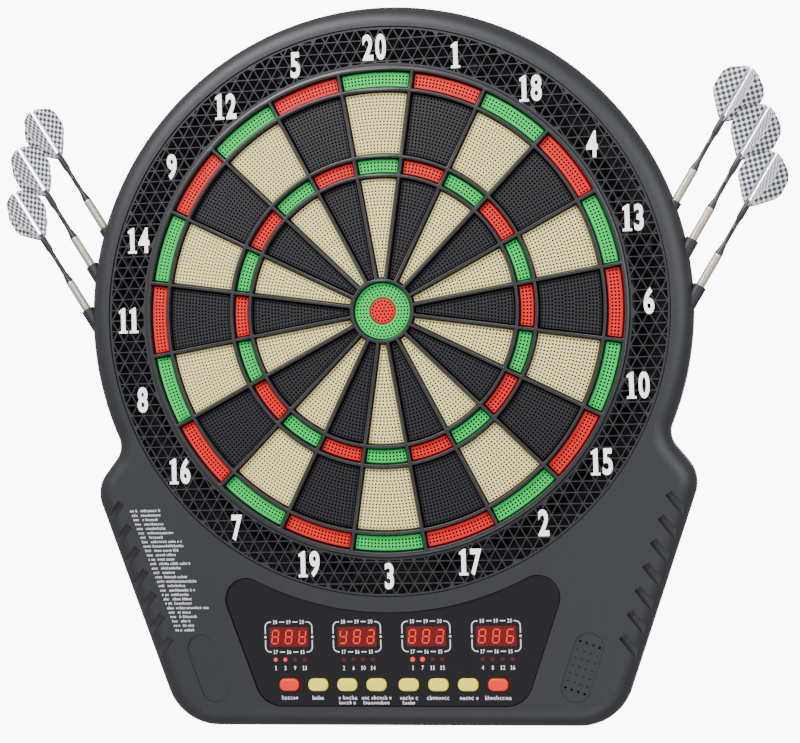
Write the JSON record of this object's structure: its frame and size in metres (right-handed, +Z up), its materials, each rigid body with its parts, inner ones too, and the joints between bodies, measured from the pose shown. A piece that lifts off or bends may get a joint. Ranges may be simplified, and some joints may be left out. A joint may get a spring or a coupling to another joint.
{
  "type": "electronic dartboard",
  "caption": "Wall-hung electronic dartboard: perforated pressing segments in a spider, lattice catch ring, score panel with buttons, and darts in side holders.",
  "frame": {"origin": "on the wall face, straight behind the centre of the bullseye", "axes": "+Z up, the target faces -Y, +Y points into the wall, +X to the right seen from the front"},
  "size_m": [0.5764, 0.034, 0.5185],
  "materials": {
    "housing_plastic": "fine moulded texture",
    "cover_plastic": "matte moulded",
    "screw_steel": "zinc plated",
    "lattice_plastic": "satin moulded",
    "numeral_white": "printed white",
    "spider_plastic": "satin moulded",
    "plate_board": "pressed hardboard",
    "membrane_film": "printed polyester film",
    "foam_rubber": "matte rubber sheet",
    "window_gloss": "polished",
    "display_red": "red display window",
    "led_red": "clear red dome",
    "circuit_board": "solder mask",
    "switch_black": "moulded",
    "speaker_steel": "pressed basket",
    "inlet_black": "moulded",
    "segment_green": "satin moulded, perforated",
    "segment_red": "satin moulded, perforated",
    "sector_light": "satin moulded, perforated",
    "sector_dark": "satin moulded, perforated",
    "button_red": "satin silicone",
    "button_yellow": "satin silicone",
    "dart_barrel": "nickel plated, knurled"
  },
  "bodies": {
    "housing": {"front_housing": "housing_plastic", "rear_cover": "cover_plastic", "cover_screws": "screw_steel", "catch_ring": "lattice_plastic", "numerals": "numeral_white", "spider": "spider_plastic", "backing_plate": "plate_board", "plate_screws": "screw_steel", "sensor_membrane": "membrane_film", "foam_pad": "foam_rubber", "ribbon_cable": "membrane_film", "window_panel": "window_gloss", "display_modules": "display_red", "player_leds": "led_red", "main_board": "circuit_board", "tact_switches": "switch_black", "speaker": "speaker_steel", "power_inlet": "inlet_black", "dart_holder_right": "housing_plastic", "dart_holder_left": "housing_plastic"},
    "sector_20_body": {"sector_20": "sector_light"},
    "sector_1_body": {"sector_1": "sector_dark"},
    "sector_18_body": {"sector_18": "sector_light"},
    "sector_4_body": {"sector_4": "sector_dark"},
    "sector_13_body": {"sector_13": "sector_light"},
    "sector_6_body": {"sector_6": "sector_dark"},
    "sector_10_body": {"sector_10": "sector_light"},
    "sector_15_body": {"sector_15": "sector_dark"},
    "sector_2_body": {"sector_2": "sector_light"},
    "sector_17_body": {"sector_17": "sector_dark"},
    "sector_3_body": {"sector_3": "sector_light"},
    "sector_19_body": {"sector_19": "sector_dark"},
    "sector_7_body": {"sector_7": "sector_light"},
    "sector_16_body": {"sector_16": "sector_dark"},
    "sector_8_body": {"sector_8": "sector_light"},
    "sector_11_body": {"sector_11": "sector_dark"},
    "sector_14_body": {"sector_14": "sector_light"},
    "sector_9_body": {"sector_9": "sector_dark"},
    "sector_12_body": {"sector_12": "sector_light"},
    "sector_5_body": {"sector_5": "sector_dark"},
    "outer_bull_body": {"outer_bull": "segment_green"},
    "inner_bull_body": {"inner_bull": "segment_red"},
    "button_1_body": {"button_1": "button_red"},
    "button_2_body": {"button_2": "button_yellow"},
    "button_3_body": {"button_3": "button_yellow"},
    "button_4_body": {"button_4": "button_yellow"},
    "button_5_body": {"button_5": "button_yellow"},
    "button_6_body": {"button_6": "button_yellow"},
    "button_7_body": {"button_7": "button_yellow"},
    "button_8_body": {"button_8": "button_red"},
    "dart_right_top_body": {"dart_right_top": "dart_barrel"},
    "dart_right_middle_body": {"dart_right_middle": "dart_barrel"},
    "dart_right_low_body": {"dart_right_low": "dart_barrel"},
    "dart_left_top_body": {"dart_left_top": "dart_barrel"},
    "dart_left_middle_body": {"dart_left_middle": "dart_barrel"},
    "dart_left_low_body": {"dart_left_low": "dart_barrel"}
  },
  "joints": [
    {"name": "sector_20_press", "type": "slide", "parent": "housing", "child": "sector_20_body", "axis": [0, 1, 0], "range_m": [0, 0.0015], "stiffness_N_per_m": 1500, "springref_m": -0.0008},
    {"name": "sector_1_press", "type": "slide", "parent": "housing", "child": "sector_1_body", "axis": [0, 1, 0], "range_m": [0, 0.0015], "stiffness_N_per_m": 1500, "springref_m": -0.0008},
    {"name": "sector_18_press", "type": "slide", "parent": "housing", "child": "sector_18_body", "axis": [0, 1, 0], "range_m": [0, 0.0015], "stiffness_N_per_m": 1500, "springref_m": -0.0008},
    {"name": "sector_4_press", "type": "slide", "parent": "housing", "child": "sector_4_body", "axis": [0, 1, 0], "range_m": [0, 0.0015], "stiffness_N_per_m": 1500, "springref_m": -0.0008},
    {"name": "sector_13_press", "type": "slide", "parent": "housing", "child": "sector_13_body", "axis": [0, 1, 0], "range_m": [0, 0.0015], "stiffness_N_per_m": 1500, "springref_m": -0.0008},
    {"name": "sector_6_press", "type": "slide", "parent": "housing", "child": "sector_6_body", "axis": [0, 1, 0], "range_m": [0, 0.0015], "stiffness_N_per_m": 1500, "springref_m": -0.0008},
    {"name": "sector_10_press", "type": "slide", "parent": "housing", "child": "sector_10_body", "axis": [0, 1, 0], "range_m": [0, 0.0015], "stiffness_N_per_m": 1500, "springref_m": -0.0008},
    {"name": "sector_15_press", "type": "slide", "parent": "housing", "child": "sector_15_body", "axis": [0, 1, 0], "range_m": [0, 0.0015], "stiffness_N_per_m": 1500, "springref_m": -0.0008},
    {"name": "sector_2_press", "type": "slide", "parent": "housing", "child": "sector_2_body", "axis": [0, 1, 0], "range_m": [0, 0.0015], "stiffness_N_per_m": 1500, "springref_m": -0.0008},
    {"name": "sector_17_press", "type": "slide", "parent": "housing", "child": "sector_17_body", "axis": [0, 1, 0], "range_m": [0, 0.0015], "stiffness_N_per_m": 1500, "springref_m": -0.0008},
    {"name": "sector_3_press", "type": "slide", "parent": "housing", "child": "sector_3_body", "axis": [0, 1, 0], "range_m": [0, 0.0015], "stiffness_N_per_m": 1500, "springref_m": -0.0008},
    {"name": "sector_19_press", "type": "slide", "parent": "housing", "child": "sector_19_body", "axis": [0, 1, 0], "range_m": [0, 0.0015], "stiffness_N_per_m": 1500, "springref_m": -0.0008},
    {"name": "sector_7_press", "type": "slide", "parent": "housing", "child": "sector_7_body", "axis": [0, 1, 0], "range_m": [0, 0.0015], "stiffness_N_per_m": 1500, "springref_m": -0.0008},
    {"name": "sector_16_press", "type": "slide", "parent": "housing", "child": "sector_16_body", "axis": [0, 1, 0], "range_m": [0, 0.0015], "stiffness_N_per_m": 1500, "springref_m": -0.0008},
    {"name": "sector_8_press", "type": "slide", "parent": "housing", "child": "sector_8_body", "axis": [0, 1, 0], "range_m": [0, 0.0015], "stiffness_N_per_m": 1500, "springref_m": -0.0008},
    {"name": "sector_11_press", "type": "slide", "parent": "housing", "child": "sector_11_body", "axis": [0, 1, 0], "range_m": [0, 0.0015], "stiffness_N_per_m": 1500, "springref_m": -0.0008},
    {"name": "sector_14_press", "type": "slide", "parent": "housing", "child": "sector_14_body", "axis": [0, 1, 0], "range_m": [0, 0.0015], "stiffness_N_per_m": 1500, "springref_m": -0.0008},
    {"name": "sector_9_press", "type": "slide", "parent": "housing", "child": "sector_9_body", "axis": [0, 1, 0], "range_m": [0, 0.0015], "stiffness_N_per_m": 1500, "springref_m": -0.0008},
    {"name": "sector_12_press", "type": "slide", "parent": "housing", "child": "sector_12_body", "axis": [0, 1, 0], "range_m": [0, 0.0015], "stiffness_N_per_m": 1500, "springref_m": -0.0008},
    {"name": "sector_5_press", "type": "slide", "parent": "housing", "child": "sector_5_body", "axis": [0, 1, 0], "range_m": [0, 0.0015], "stiffness_N_per_m": 1500, "springref_m": -0.0008},
    {"name": "outer_bull_press", "type": "slide", "parent": "housing", "child": "outer_bull_body", "axis": [0, 1, 0], "range_m": [0, 0.0015], "stiffness_N_per_m": 400, "springref_m": -0.0008},
    {"name": "inner_bull_press", "type": "slide", "parent": "housing", "child": "inner_bull_body", "axis": [0, 1, 0], "range_m": [0, 0.0015], "stiffness_N_per_m": 400, "springref_m": -0.0008},
    {"name": "button_1_press", "type": "slide", "parent": "housing", "child": "button_1_body", "axis": [0, 1, 0], "range_m": [0, 0.0012], "stiffness_N_per_m": 800, "springref_m": -0.0006},
    {"name": "button_2_press", "type": "slide", "parent": "housing", "child": "button_2_body", "axis": [0, 1, 0], "range_m": [0, 0.0012], "stiffness_N_per_m": 800, "springref_m": -0.0006},
    {"name": "button_3_press", "type": "slide", "parent": "housing", "child": "button_3_body", "axis": [0, 1, 0], "range_m": [0, 0.0012], "stiffness_N_per_m": 800, "springref_m": -0.0006},
    {"name": "button_4_press", "type": "slide", "parent": "housing", "child": "button_4_body", "axis": [0, 1, 0], "range_m": [0, 0.0012], "stiffness_N_per_m": 800, "springref_m": -0.0006},
    {"name": "button_5_press", "type": "slide", "parent": "housing", "child": "button_5_body", "axis": [0, 1, 0], "range_m": [0, 0.0012], "stiffness_N_per_m": 800, "springref_m": -0.0006},
    {"name": "button_6_press", "type": "slide", "parent": "housing", "child": "button_6_body", "axis": [0, 1, 0], "range_m": [0, 0.0012], "stiffness_N_per_m": 800, "springref_m": -0.0006},
    {"name": "button_7_press", "type": "slide", "parent": "housing", "child": "button_7_body", "axis": [0, 1, 0], "range_m": [0, 0.0012], "stiffness_N_per_m": 800, "springref_m": -0.0006},
    {"name": "button_8_press", "type": "slide", "parent": "housing", "child": "button_8_body", "axis": [0, 1, 0], "range_m": [0, 0.0012], "stiffness_N_per_m": 800, "springref_m": -0.0006},
    {"name": "dart_right_top_pull", "type": "slide", "parent": "housing", "child": "dart_right_top_body", "axis": [0.524, 0, 0.8517], "range_m": [0, 0.06]},
    {"name": "dart_right_middle_pull", "type": "slide", "parent": "housing", "child": "dart_right_middle_body", "axis": [0.524, 0, 0.8517], "range_m": [0, 0.06]},
    {"name": "dart_right_low_pull", "type": "slide", "parent": "housing", "child": "dart_right_low_body", "axis": [0.524, 0, 0.8517], "range_m": [0, 0.06]},
    {"name": "dart_left_top_pull", "type": "slide", "parent": "housing", "child": "dart_left_top_body", "axis": [-0.524, 0, 0.8517], "range_m": [0, 0.06]},
    {"name": "dart_left_middle_pull", "type": "slide", "parent": "housing", "child": "dart_left_middle_body", "axis": [-0.524, 0, 0.8517], "range_m": [0, 0.06]},
    {"name": "dart_left_low_pull", "type": "slide", "parent": "housing", "child": "dart_left_low_body", "axis": [-0.524, 0, 0.8517], "range_m": [0, 0.06]}
  ]
}
